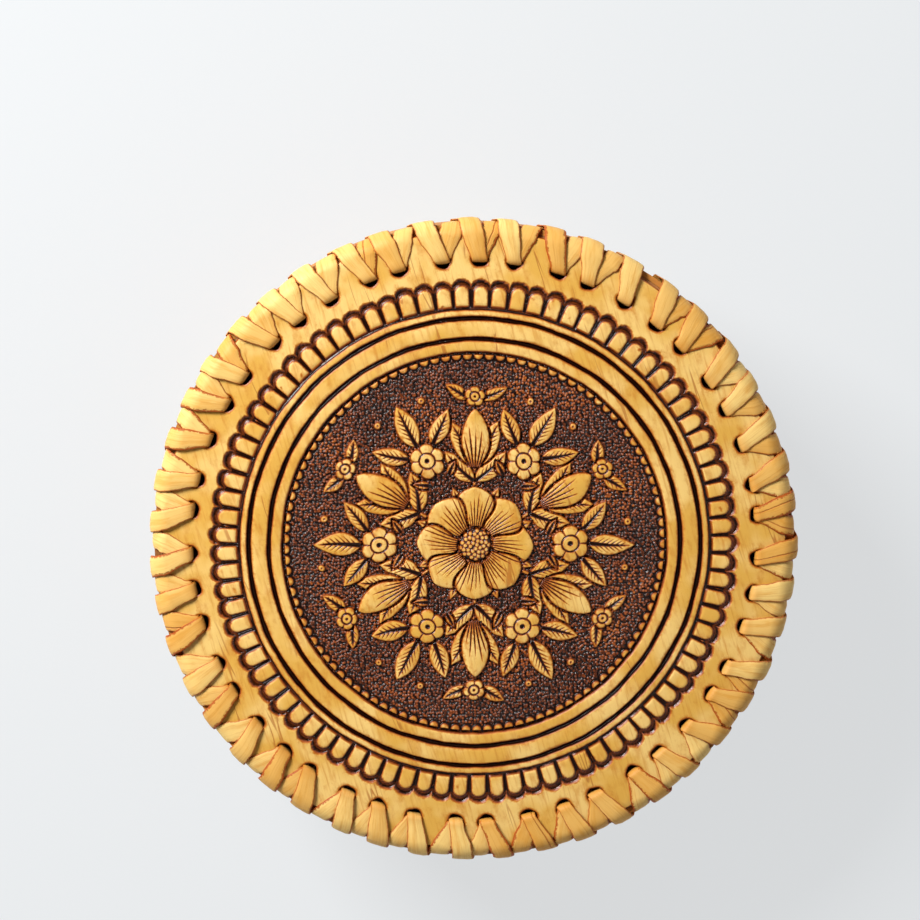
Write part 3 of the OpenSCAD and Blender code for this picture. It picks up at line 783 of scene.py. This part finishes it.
def lace_piece(name, holes, hoop_r, face_z, way, upper, lacing, body, seed):
    """One lacing strip, as a closed band carried along its path. At each point
    the band stands square to the path: its normal is the path's direction in
    the radial plane turned a quarter, and its breadth is the normal crossed
    with the path. Each stitch strays a little in lean, breadth and swell."""
    rng = np.random.default_rng(seed)
    up = 1 if body == "lid" else -1
    strip_w, strip_t, gap = lacing.strip_w / MM, lacing.strip_t / MM, lacing.layer_gap / MM
    off = gap + strip_t / 2 + upper * (gap + strip_t)
    leg, hole_share = (-0.75, 0.8) if upper else (0.05, 0.82)
    first, last = (0, 7 * holes - 1) if upper else (5, 7 * holes)
    corners, advance = lace_turn(hoop_r, PANEL_T, lacing, off, leg, body == "lid")
    i = np.arange(first, last + 1)
    turn, j = i // 7, i % 7
    lean = rng.normal(0, 0.022, holes + 2)[turn] * ((j == 2) | (j == 3))
    slip = rng.normal(0, 0.25, holes + 2)[turn] * (j == 4)
    s = turn + advance[j] + lean
    k0 = np.floor(s)
    a = mix(hole_angle(way * k0, holes, lacing), hole_angle(way * (k0 + 1), holes, lacing), s - k0)
    at_hole = ((j < 2) | (j == 4) | (j == 5)).astype(float)
    z = face_z - up * (corners[j, 1] + slip)
    path = np.stack([corners[j, 0], a, z, s, at_hole], -1)
    path = round_corners(path, np.where((j > 0) & (j < 4), 1.7, 0.9))
    r, a, z, s, at_hole = path.T

    step = np.gradient(path[:, :3], axis=0) * np.stack([np.ones_like(r), r, np.ones_like(r)], -1)
    ahead = step / np.linalg.norm(step, axis=1, keepdims=True)
    flat = np.hypot(step[:, 0], step[:, 2])
    normal = np.stack([-step[:, 2] / flat, 0 * flat, step[:, 0] / flat], -1) * up
    breadth = np.cross(normal, ahead)
    along = np.concatenate([[0], np.cumsum(np.hypot(flat, step[:, 1])[:-1])])

    stitch = np.floor(s + 0.2).astype(int)
    wide = rng.uniform(0.93, 1.06, holes + 2)[stitch]
    share = np.clip((s - np.floor(s)) / advance[4], 0, 1)
    over_rim = np.sin(math.pi * share)
    half_w = strip_w / 2 * mix(wide + 0.14 * over_rim, hole_share, smooth(at_hole))
    swell = rng.uniform(0.15, 0.5, holes + 2)[stitch] * over_rim * upper
    ripple = 0.04 * wander(along, 0 * along, 9, seed)

    ring = np.arange(14) * TAU / 14
    cross, rise = np.cos(ring), np.sin(ring)
    cross = np.sign(cross) * np.abs(cross) ** 0.55
    rise = np.sign(rise) * np.abs(rise) ** 0.7 * (1 - 0.35 * cross ** 4)
    rag = 0.1 * wander(along[:, None], 9 * np.sign(cross)[None, :], 2.3, seed + 1)
    rag = rag + 0.12 * wander(along[:, None], 9 * np.sign(cross)[None, :], 9, seed + 2)
    sideways = half_w[:, None] * cross + rag * np.abs(cross)
    cup = 0.1 * wander(along, 0 * along, 13, seed + 3) - 0.2 + 0.12 * at_hole
    outward = (strip_t / 2 * rise + (swell + ripple)[:, None] + cup[:, None] * (cross ** 2 - 0.5)
               + 0.03 * wander(along[:, None], 6 * cross[None, :], 3, seed + 4, 8))
    move = breadth[:, None] * sideways[..., None] + normal[:, None] * outward[..., None]
    ring_r = r[:, None] + move[..., 0]
    ring_a = a[:, None] + move[..., 1] / r[:, None]
    ring_z = np.maximum(z[:, None] + move[..., 2], 0)
    points = np.stack([ring_r * np.cos(ring_a), ring_r * np.sin(ring_a), ring_z], -1)
    rows, around = points.shape[:2]
    start_cap = np.arange(around)[None, ::-1]
    faces = [grid_faces(rows, around, 0, True), start_cap, start_cap[:, ::-1] + (rows - 1) * around]
    piece = make_piece(name, points.reshape(-1, 3), faces, body, [name])
    tone = rng.uniform(0, 1, holes + 2)[stitch]
    strip = np.stack([np.broadcast_to(along[:, None], sideways.shape),
                      np.broadcast_to(strip_w / 2 * cross[None, :], sideways.shape),
                      np.broadcast_to(tone[:, None], sideways.shape)], -1)
    layer = piece.data.attributes.new("strip", "FLOAT_VECTOR", "POINT")
    layer.data.foreach_set("vector", strip.astype(np.float32).ravel())
    # Painted shade: a strip's "burn" attribute is 1 where it dives into a hole, and darkens it
    # there.
    set_attribute(piece, "burn", np.repeat(smooth((at_hole - 0.6) / 0.4), around))
    return piece


# ---- Materials --------------------------------------------------------------
def add(tree, kind, inputs=None, **settings):
    """Adds a node of that kind, sets its settings, and gives each named or
    numbered input a value or the output that feeds it."""
    node = tree.nodes.new(kind)
    for key, value in settings.items():
        setattr(node, key, value)
    for key, value in (inputs or {}).items():
        if isinstance(value, bpy.types.NodeSocket):
            tree.links.new(value, node.inputs[key])
        else:
            node.inputs[key].default_value = value
    return node


def ramp(tree, factor, stops):
    """A colour ramp through (place, linear colour) stops."""
    node = add(tree, "ShaderNodeValToRGB", {0: factor})
    elements = node.color_ramp.elements
    while len(elements) < len(stops):
        elements.new(1.0)
    for element, (place, rgb) in zip(elements, stops):
        element.position = place
        element.color = (*rgb, 1)
    return node.outputs[0]


def new_material(name):
    """An empty material, its node tree and its output node."""
    material = bpy.data.materials.new(name)
    material.use_nodes = True
    material.node_tree.nodes.clear()
    return material, material.node_tree, add(material.node_tree, "ShaderNodeOutputMaterial")


def object_mm(tree, stretch=(1, 1, 1), turn=0.0):
    """Object coordinates in millimetres, turned about Z and then divided by
    the stretch, so that a pattern runs long where the stretch is large."""
    place = add(tree, "ShaderNodeTexCoord").outputs["Object"]
    if turn:
        place = add(tree, "ShaderNodeVectorRotate", {"Vector": place, "Angle": turn},
                    rotation_type="Z_AXIS").outputs[0]
    scale = [1000 / s for s in stretch]
    return add(tree, "ShaderNodeVectorMath", {0: place, 1: scale}, operation="MULTIPLY").outputs[0]


def noise(tree, vector, size, detail=3.0, roughness=0.55):
    """Noise of about that size in the vector's own unit."""
    return add(tree, "ShaderNodeTexNoise", {"Vector": vector, "Scale": 1 / size, "Detail": detail,
                                            "Roughness": roughness}).outputs[0]


def maths(tree, operation, a, b=0.0, c=0.0):
    return add(tree, "ShaderNodeMath", {0: a, 1: b, 2: c}, operation=operation).outputs[0]


def remap(tree, value, low, high, to_low=0.0, to_high=1.0):
    """Carries low..high to to_low..to_high in a smooth step, held at the ends."""
    return add(tree, "ShaderNodeMapRange", {0: value, 1: low, 2: high, 3: to_low, 4: to_high},
               interpolation_type="SMOOTHSTEP").outputs[0]


def blend_colour(tree, share, a, b, way="MIX"):
    """Mixes colour b over colour a by that share."""
    node = add(tree, "ShaderNodeMix", {0: share}, data_type="RGBA", blend_type=way)
    for socket, value in ((node.inputs[6], a), (node.inputs[7], b)):
        if isinstance(value, bpy.types.NodeSocket):
            tree.links.new(value, socket)
        else:
            socket.default_value = (*value, 1)
    return node.outputs[2]


def birch_grain(tree, stretch, turn=0.0):
    """Two strengths of grain that runs along the stretch: soft long streaks,
    and the few short dark dashes that birch carries."""
    streaks = noise(tree, object_mm(tree, stretch, turn), 0.9, 4, 0.6)
    dashes = noise(tree, object_mm(tree, [s * 0.45 for s in stretch], turn), 1.4, 1, 0.4)
    return streaks, remap(tree, dashes, 0.66, 0.74)


def finish_bark(tree, output, base, rough, height, depth_mm, gloss=0.3):
    """Joins colour, roughness and bump in one shader."""
    bump = add(tree, "ShaderNodeBump", {"Height": height, "Strength": 1.0,
                                        "Distance": depth_mm * MM})
    shader = add(tree, "ShaderNodeBsdfPrincipled", {
        "Base Color": base, "Roughness": rough, "Normal": bump.outputs[0],
        "Specular IOR Level": gloss})
    tree.links.new(shader.outputs[0], output.inputs[0])


def hair_cracks(tree, place, size, width, share):
    """1 on hair cracks: where a noise of that size crosses its middle value,
    kept only where a second, larger noise is high."""
    line = maths(tree, "ABSOLUTE", maths(tree, "SUBTRACT", noise(tree, place, size, 1), 0.5))
    here = remap(tree, noise(tree, place, size * 1.7, 1), 1 - share, 1.06 - share)
    return maths(tree, "MULTIPLY", remap(tree, line, width * 0.4, width, 1, 0), here)


def embossed_bark(colours):
    """Inner birch bark pressed with a hot stamp and lacquered. The raised
    parts keep the bark's gold with faint slanting grain, edges go through
    amber and orange to brown, and the sunk ground is scorched nearly black
    with rubbed brown tops; a thin lacquer gives all of it a soft gleam."""
    material, tree, output = new_material("birch_bark_embossed_lacquered")
    burn = add(tree, "ShaderNodeAttribute", attribute_name="burn").outputs["Fac"]
    place = object_mm(tree)
    fine = noise(tree, place, 0.5, 4, 0.65)
    mottle = noise(tree, object_mm(tree, (1, 2.4, 1), math.radians(-16)), 2.6, 4, 0.6)
    grain = object_mm(tree, (1, 16, 1), math.radians(-16))
    streaks = noise(tree, grain, 0.8, 4, 0.6)
    clean = blend_colour(tree, remap(tree, noise(tree, place, 15, 3), 0.38, 0.62),
                         colours.gold, colours.pale)
    clean = blend_colour(tree, remap(tree, mottle, 0.48, 0.72, 0, 0.5), clean, colours.amber)
    clean = blend_colour(tree, remap(tree, streaks, 0.5, 0.72, 0, 0.55), clean, colours.amber)
    cracks = hair_cracks(tree, object_mm(tree, (1, 11, 1), math.radians(-20)), 2.4, 0.03, 0.4)
    clean = blend_colour(tree, maths(tree, "MULTIPLY", cracks, 0.6), clean, colours.scorch)
    stray = maths(tree, "MULTIPLY_ADD", fine, 0.3, maths(tree, "MULTIPLY_ADD", mottle, 0.2, -0.25))
    heat = maths(tree, "ADD", burn, stray)
    edge = ramp(tree, heat, [(0.0, colours.amber), (0.16, colours.amber), (0.34, colours.scorch),
                             (0.58, colours.ground), (0.86, colours.burnt)])
    base = blend_colour(tree, remap(tree, heat, 0.02, 0.2), clean, edge)
    rough = remap(tree, maths(tree, "MULTIPLY_ADD", fine, 0.3, burn), 0.1, 1.2, 0.42, 0.2)
    height = maths(tree, "MULTIPLY_ADD", streaks, 0.6, fine)
    height = maths(tree, "MULTIPLY_ADD", cracks, -0.8, height)
    finish_bark(tree, output, base, rough, height, 0.06, 0.42)
    return material


def bark_strip(colours):
    """Split inner bark, dampened, drawn tight and dried: satin fibres along
    the strip, a change of gold from stitch to stitch, brown edges that are
    partly torn and partly painted shade, painted shade where it dives into a
    hole, and on some stitches a crease, bumped in and painted dark as its shade."""
    material, tree, output = new_material("birch_bark_strip_satin")
    strip = add(tree, "ShaderNodeAttribute", attribute_name="strip").outputs["Vector"]
    _, across, tone = add(tree, "ShaderNodeSeparateXYZ", {0: strip}).outputs
    fibres, bands, tears = (
        noise(tree, add(tree, "ShaderNodeVectorMath", {0: strip, 1: scale},
                        operation="MULTIPLY").outputs[0], 1.0, detail, 0.65)
        for scale, detail in (((0.05, 2.9, 40), 5), ((0.1, 0.6, 9), 3), ((1.4, 1.4, 17), 4)))
    base = blend_colour(tree, remap(tree, tone, 0, 1, 0.0, 0.7), colours.strip, colours.strip_deep)
    base = blend_colour(tree, remap(tree, bands, 0.45, 0.7, 0, 0.5), base, colours.strip_deep)
    base = blend_colour(tree, remap(tree, fibres, 0.5, 0.72, 0, 0.5), base, colours.amber)
    reach = maths(tree, "ABSOLUTE", across)
    # Painted shade: both edges of a strip darken to the tear colour, partly as torn bark and partly
    # as the shade along them.
    edge = remap(tree, maths(tree, "MULTIPLY_ADD", tears, 0.5, reach), 2.3, 2.6)
    base = blend_colour(tree, maths(tree, "MULTIPLY", edge, 0.85), base, colours.tear_and_shade)
    ragged = maths(tree, "GREATER_THAN", maths(tree, "FRACT", maths(tree, "MULTIPLY", tone, 5.1)),
                   0.7)
    torn = maths(tree, "MULTIPLY", ragged,
                 remap(tree, maths(tree, "MULTIPLY_ADD", tears, 1.8, reach), 2.75, 3.0))
    base = blend_colour(tree, maths(tree, "MULTIPLY", torn, 0.8), base, colours.tear_and_shade)
    middle = maths(tree, "MULTIPLY_ADD", maths(tree, "FRACT", maths(tree, "MULTIPLY", tone, 13.7)),
                   3.0, -1.5)
    off = maths(tree, "ABSOLUTE", maths(tree, "SUBTRACT", across, middle))
    off = maths(tree, "MULTIPLY_ADD", maths(tree, "SUBTRACT", tears, 0.5), 0.25, off)
    # Painted shade: on some stitches a dark line is painted along a crease as its shade, over the
    # groove that the bump gives it.
    crease_and_shade = maths(tree, "MULTIPLY", remap(tree, off, 0.04, 0.22, 1, 0),
                   maths(tree, "GREATER_THAN", tone, 0.8))
    base = blend_colour(tree, maths(tree, "MULTIPLY", crease_and_shade, 0.7), base, colours.tear_and_shade)
    # Painted shade: a strip darkens towards amber where it dives into a hole.
    hole_shade = add(tree, "ShaderNodeAttribute", attribute_name="burn").outputs["Fac"]
    base = blend_colour(tree, maths(tree, "MULTIPLY", hole_shade, 0.5), base, colours.amber)
    rough = remap(tree, fibres, 0.3, 0.7, 0.38, 0.52)
    height = maths(tree, "MULTIPLY_ADD", maths(tree, "MAXIMUM", crease_and_shade, torn), -1.2, fibres)
    finish_bark(tree, output, base, rough, height, 0.1, 0.2)
    return material


def bark_sheet(name, colours, base, stretch, dash_share):
    """Bark in the sheet, its grain running round the box: streaks of a deeper
    tone and brown dashes across a dry satin face."""
    material, tree, output = new_material(name)
    streaks, dashes = birch_grain(tree, stretch)
    patches = noise(tree, object_mm(tree, (1, 1, 0.5)), 18, 3)
    fine = noise(tree, object_mm(tree), 0.4, 3)
    tint = blend_colour(tree, remap(tree, patches, 0.3, 0.7, 0, 0.4), base, colours.scorch)
    tint = blend_colour(tree, remap(tree, streaks, 0.45, 0.75, 0, 0.4), tint, colours.lenticel)
    tint = blend_colour(tree, maths(tree, "MULTIPLY", dashes, dash_share), tint, colours.lenticel)
    rough = remap(tree, streaks, 0.3, 0.7, 0.5, 0.68)
    finish_bark(tree, output, tint, rough, maths(tree, "MULTIPLY_ADD", streaks, 0.8, fine), 0.08)
    return material


# ---- Operators --------------------------------------------------------------
class BarkBoxOperator:
    """A build step, run with the scene's settings"""

    bl_options = {"REGISTER", "UNDO"}

    def execute(self, context):
        self.build(context.scene.bark_box_lid, context.scene.bark_box_lacing,
                   context.scene.bark_box_colours)
        return {"FINISHED"}


class BARKBOX_OT_lid(BarkBoxOperator, bpy.types.Operator):
    """Builds the lid's embossed field and border"""

    bl_idname = "barkbox.lid"
    bl_label = "Embossed Lid"

    def build(self, lid, lacing, colours):
        material = embossed_bark(colours)
        for piece in (*field_pieces(lid, PANEL_T), border_piece(lid, lacing, PANEL_T)):
            piece.data.materials.append(material)


class BARKBOX_OT_lacing(BarkBoxOperator, bpy.types.Operator):
    """Builds the two lacing strips of the lid and the two of the base"""

    bl_idname = "barkbox.lacing"
    bl_label = "Lacing"

    def build(self, lid, lacing, colours):
        material = bark_strip(colours)
        rims = (("lid", lacing.lid_holes, LID_HOOP_R, LID_FACE_Z, "lid"),
                ("base", lacing.base_holes, WALL_R, BASE_FACE_Z, "box"))
        for seed, (rim, holes, hoop_r, face_z, body) in enumerate(rims):
            for layer, way, upper in (("under", -1, False), ("over", 1, True)):
                piece = lace_piece(f"{rim}_lace_{layer}", holes, hoop_r, face_z, way, upper,
                                   lacing, body, 40 + 10 * seed + upper)
                piece.data.materials.append(material)


class BARKBOX_OT_bark(BarkBoxOperator, bpy.types.Operator):
    """Gives the hoops, walls, panels and linings their bark"""

    bl_idname = "barkbox.bark"
    bl_label = "Bark"

    def build(self, lid, lacing, colours):
        face = bark_sheet("birch_bark_face_satin", colours, colours.wall, (20, 20, 1), 0.7)
        lining = bark_sheet("birch_bark_lining_dry", colours, colours.lining, (14, 14, 1), 0.5)
        floor = bark_sheet("birch_bark_panel_dry", colours, colours.lining, (20, 1, 1), 0.5)
        for node, material in (
                ("lid_hoop_outer", face), ("wall_outer", face), ("lid_hoop_inner", lining),
                ("lid_sleeve", lining), ("wall_inner", lining), ("wall_liner", lining),
                ("lid_lining", floor), ("bottom_lining", floor), ("bottom_panel", floor)):
            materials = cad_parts[node].data.materials
            materials.clear()
            materials.append(material)


class BARKBOX_OT_stage(BarkBoxOperator, bpy.types.Operator):
    """Sets the pale floor, the soft light, a dark card overhead and the camera"""

    bl_idname = "barkbox.stage"
    bl_label = "Stage"

    def build(self, lid, lacing, colours):
        self.floor(colours)
        self.light("key", bearing=135, rise=37, distance=0.78, size=0.3, watts=8.9)
        self.light("fill", bearing=-30, rise=60, distance=1.4, size=1.2, watts=1.2)
        self.card()
        self.room()
        self.camera()

    def plate(self, name, reach, height, order):
        """A level square plate. The order of its corners turns it up or down."""
        mesh = bpy.data.meshes.new(name)
        mesh.from_pydata([(-reach, -reach, height), (reach, -reach, height),
                          (reach, reach, height), (-reach, reach, height)], [], [order])
        plate = bpy.data.objects.new(name, mesh)
        bpy.context.scene.collection.objects.link(plate)
        return plate

    def floor(self, colours):
        """A matt floor that shows mostly its own pale colour where it is seen."""
        floor = self.plate("stage_floor", reach=3.0, height=0, order=(0, 1, 2, 3))
        material, tree, output = new_material("plain_pale_floor")
        matt = add(tree, "ShaderNodeBsdfPrincipled", {
            "Base Color": (*colours.floor, 1), "Roughness": 0.85, "Specular IOR Level": 0.1})
        pale = add(tree, "ShaderNodeEmission", {"Color": (*colours.floor, 1), "Strength": 1.0})
        seen = maths(tree, "MULTIPLY", self.seen_directly(tree), 0.78)
        both = add(tree, "ShaderNodeMixShader", {0: seen, 1: matt.outputs[0], 2: pale.outputs[0]})
        tree.links.new(both.outputs[0], output.inputs[0])
        floor.data.materials.append(material)

    def card(self):
        """A dark card above the camera and unseen by it, which keeps the
        reflections in the lacquer dark."""
        above = self.plate("stage_card", reach=1.3, height=1.5, order=(3, 2, 1, 0))
        above.visible_camera = False
        dark, tree, output = new_material("dark_brown_card")
        matt = add(tree, "ShaderNodeBsdfDiffuse", {"Color": (0.05, 0.03, 0.02, 1)})
        tree.links.new(matt.outputs[0], output.inputs[0])
        above.data.materials.append(dark)

    def room(self):
        """An even, pale light from all sides, twice as bright where it is seen."""
        world = bpy.data.worlds.new("pale_room")
        world.use_nodes = True
        room = world.node_tree.nodes["Background"]
        room.inputs[0].default_value = (1, 0.97, 0.94, 1)
        strength = maths(world.node_tree, "MULTIPLY_ADD", self.seen_directly(world.node_tree),
                         0.4, 0.4)
        world.node_tree.links.new(strength, room.inputs[1])
        bpy.context.scene.world = world
        bpy.context.scene.view_settings.view_transform = "Standard"

    def seen_directly(self, tree):
        """1 for rays of the camera, a reflection or glass, 0 for light that
        reaches a matt surface."""
        path = add(tree, "ShaderNodeLightPath").outputs
        mirrored = maths(tree, "MAXIMUM", path["Is Glossy Ray"], path["Is Transmission Ray"])
        return maths(tree, "MAXIMUM", path["Is Camera Ray"], mirrored)

    def light(self, name, bearing, rise, distance, size, watts):
        """A square area light that faces the lid's middle. Its bearing is
        counted in degrees from +X, and its rise from the lid's plane."""
        lamp = bpy.data.lights.new(name, "AREA")
        lamp.size, lamp.energy = size, watts
        lit = bpy.data.objects.new(name, lamp)
        turn = Euler((0, math.radians(90 - rise), math.radians(bearing)), "XYZ")
        middle = Vector((0, 0, LID_FACE_Z * MM))
        lit.location = middle + turn.to_matrix() @ Vector((0, 0, distance))
        lit.rotation_euler = turn
        bpy.context.scene.collection.objects.link(lit)

    def camera(self):
        """The photograph's view: the lid's tilt before the lens, and its place
        in radii of the line under the arches."""
        data = bpy.data.cameras.new("camera")
        data.lens, data.sensor_width = 104.87, 36.0
        data.clip_end = 20.0
        tilt = Euler((math.radians(6.92), math.radians(1.79), 0), "XYZ").to_matrix()
        offset = Vector((0.0638, -0.3583, -11.3914)) * 61.6 * MM
        pose = tilt.transposed()
        camera = bpy.data.objects.new("camera", data)
        camera.matrix_world = (Matrix.Translation(Vector((0, 0, LID_FACE_Z * MM)) - pose @ offset)
                               @ pose.to_4x4())
        bpy.context.scene.collection.objects.link(camera)
        bpy.context.scene.camera = camera


class BARKBOX_PT_panel(bpy.types.Panel):
    """The box's settings and its build steps"""

    bl_idname = "BARKBOX_PT_panel"
    bl_label = "Bark Box"
    bl_space_type = "VIEW_3D"
    bl_region_type = "UI"
    bl_category = "Bark Box"

    def draw(self, context):
        for operator in OPERATORS:
            self.layout.operator(operator.bl_idname)
        for name in SETTINGS:
            group = getattr(context.scene, name)
            column = self.layout.column(align=True)
            for key in group.__annotations__:
                column.prop(group, key)


SETTINGS = {"bark_box_lid": BARKBOX_PG_lid, "bark_box_lacing": BARKBOX_PG_lacing,
            "bark_box_colours": BARKBOX_PG_colours}
OPERATORS = (BARKBOX_OT_lid, BARKBOX_OT_lacing, BARKBOX_OT_bark, BARKBOX_OT_stage)


def register():
    for cls in (*SETTINGS.values(), *OPERATORS, BARKBOX_PT_panel):
        bpy.utils.register_class(cls)
    for name, group in SETTINGS.items():
        setattr(bpy.types.Scene, name, bpy.props.PointerProperty(type=group))


def unregister():
    for name in SETTINGS:
        delattr(bpy.types.Scene, name)
    for cls in reversed((*SETTINGS.values(), *OPERATORS, BARKBOX_PT_panel)):
        bpy.utils.unregister_class(cls)


def main():
    register()
    bpy.ops.barkbox.lid()
    bpy.ops.barkbox.lacing()
    bpy.ops.barkbox.bark()
    bpy.ops.barkbox.stage()


if __name__ == "__main__":
    main()
